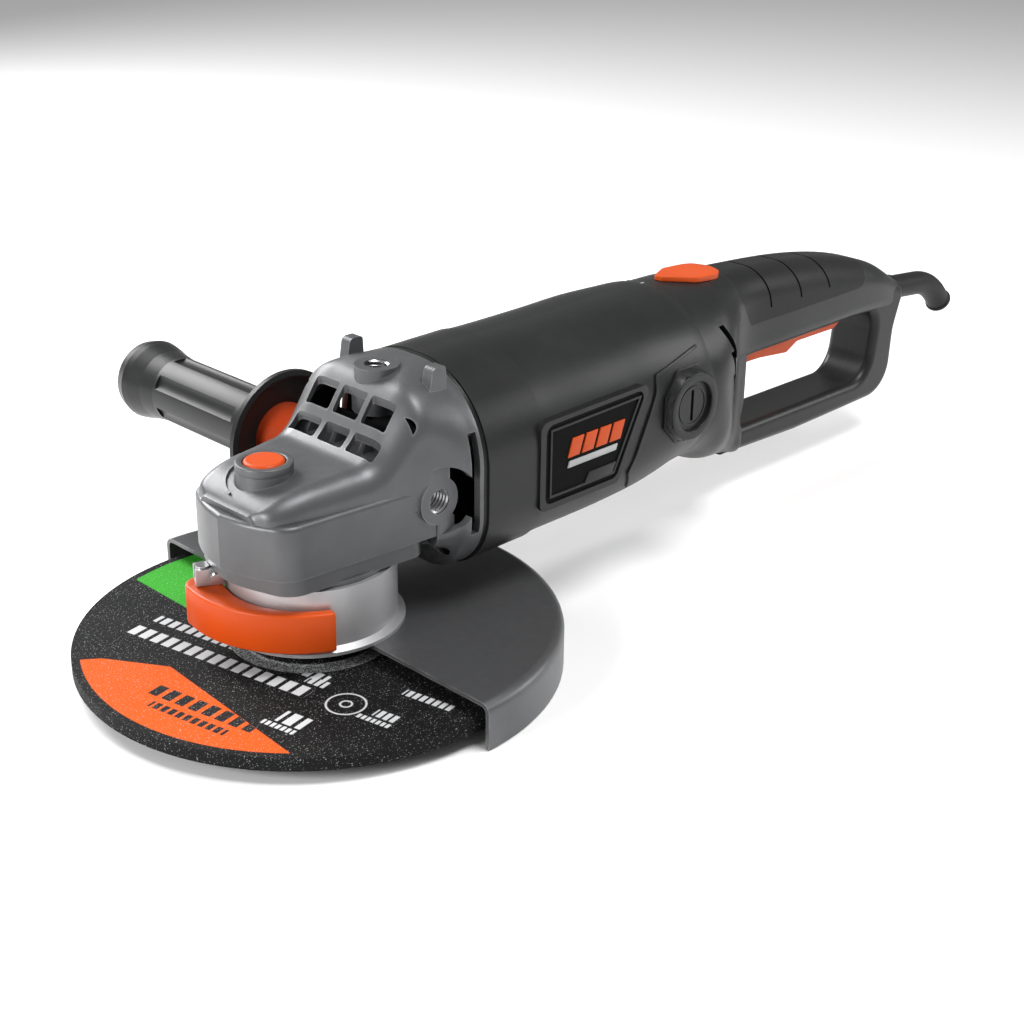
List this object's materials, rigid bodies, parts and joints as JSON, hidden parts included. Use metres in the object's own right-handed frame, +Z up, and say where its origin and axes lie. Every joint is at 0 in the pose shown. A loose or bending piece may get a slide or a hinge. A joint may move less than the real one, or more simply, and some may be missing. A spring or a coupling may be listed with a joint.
{
  "type": "angle grinder",
  "caption": "Large two-handed angle grinder: cast gear head with guard, disc and side handle, motor housing, swivelling D-shaped rear handle with trigger.",
  "frame": {"origin": "on the spindle axis at the lock nut's outer face, level with the grinding disc's working face", "axes": "+X along the motor towards the rear handle, +Y towards the fitted side handle, +Z up along the spindle into the gear head"},
  "size_m": [0.6531, 0.3155, 0.1415],
  "materials": {
    "cast_grey": "satin",
    "guard_steel": "satin",
    "zinc_plate": "satin",
    "steel": "satin",
    "black_screw": "satin",
    "lamination": "satin",
    "copper": "gloss",
    "brass": "satin",
    "carbon": "matt",
    "abrasive": "rough",
    "black_plastic": "satin",
    "soft_grip": "matt",
    "orange_plastic": "satin",
    "orange_rubber": "matt"
  },
  "bodies": {
    "tool_body": {"gear_housing": "cast_grey", "gear_housing_screws": "black_screw", "bearing_cover": "cast_grey", "bearing_cover_screws": "black_screw", "spindle_bearing_lower": "steel", "spindle_bearing_upper": "steel", "spindle_seal": "soft_grip", "armature_bearing_front": "steel", "armature_bearing_rear": "steel", "side_handle_grip": "black_plastic", "side_handle_stud": "steel", "side_handle_lock_nut": "steel", "side_handle_damper": "orange_rubber", "motor_housing": "black_plastic", "air_baffle": "black_plastic", "field_core": "lamination", "field_windings": "copper", "badge_left": "black_plastic", "badge_right": "black_plastic", "brush_holder_left": "brass", "brush_holder_right": "brass", "carbon_brush_left": "carbon", "carbon_brush_right": "carbon", "brush_spring_left": "steel", "brush_spring_right": "steel", "brush_cap_left": "black_plastic", "brush_cap_right": "black_plastic", "spindle_lock_spring": "steel"},
    "spindle_unit": {"spindle": "steel", "gear_key": "steel", "ring_gear": "steel", "inner_flange": "steel", "lock_nut": "steel", "grinding_disc": "abrasive"},
    "armature_unit": {"armature_shaft": "steel", "pinion": "steel", "armature_core": "lamination", "armature_windings": "copper", "commutator": "copper", "cooling_fan": "black_plastic"},
    "spindle_lock": {"spindle_lock_button": "orange_plastic", "spindle_lock_pin": "steel"},
    "guard_unit": {"wheel_guard": "guard_steel", "guard_collar": "zinc_plate", "lever_pin": "steel", "collar_tie_bolt": "steel"},
    "clamp_lever_unit": {"clamp_lever": "orange_plastic"},
    "rear_handle": {"handle_shell_left": "black_plastic", "handle_shell_right": "black_plastic", "grip_pad_left": "soft_grip", "grip_pad_right": "soft_grip", "handle_screws": "black_screw", "trigger_pin": "steel", "switch_block": "black_plastic", "capacitor": "black_plastic", "cord_clamp": "black_plastic", "cord_sleeve": "soft_grip"},
    "handle_lock": {"handle_lock_button": "orange_plastic"},
    "trigger_unit": {"trigger": "orange_plastic"}
  },
  "joints": [
    {"name": "spindle_spin", "type": "hinge", "parent": "tool_body", "child": "spindle_unit", "pos_m": [0, 0, 0.05], "axis": [0, 0, 1], "continuous": true},
    {"name": "armature_spin", "type": "hinge", "parent": "tool_body", "child": "armature_unit", "pos_m": [0.15, 0, 0.081], "axis": [1, 0, 0], "continuous": true},
    {"name": "spindle_lock_press", "type": "slide", "parent": "tool_body", "child": "spindle_lock", "axis": [0, 0, -1], "range_m": [0, 0.006], "stiffness_N_per_m": 800, "springref_m": -0.005, "deforming": ["spindle_lock_spring"]},
    {"name": "guard_turn", "type": "hinge", "parent": "tool_body", "child": "guard_unit", "pos_m": [0, 0, 0.03], "axis": [0, 0, 1], "range_deg": [-60, 60]},
    {"name": "clamp_lever_swing", "type": "hinge", "parent": "guard_unit", "child": "clamp_lever_unit", "pos_m": [-0.04415, 0.02347, 0.03], "axis": [0, 0, -1], "range_deg": [0, 100]},
    {"name": "rear_handle_swivel", "type": "hinge", "parent": "tool_body", "child": "rear_handle", "pos_m": [0.24, 0, 0.081], "axis": [1, 0, 0], "range_deg": [-90, 90]},
    {"name": "handle_lock_slide", "type": "slide", "parent": "rear_handle", "child": "handle_lock", "axis": [1, 0, 0], "range_m": [0, 0.0035], "stiffness_N_per_m": 600, "springref_m": -0.004},
    {"name": "trigger_squeeze", "type": "hinge", "parent": "rear_handle", "child": "trigger_unit", "pos_m": [0.408, 0, 0.08], "axis": [0, 1, 0], "range_deg": [0, 4.5], "stiffness_Nm_per_rad": 8, "springref_deg": -5.73}
  ],
  "couplings": [
    {"joint": "armature_spin", "follows": "spindle_spin", "ratio": 4.1}
  ]
}
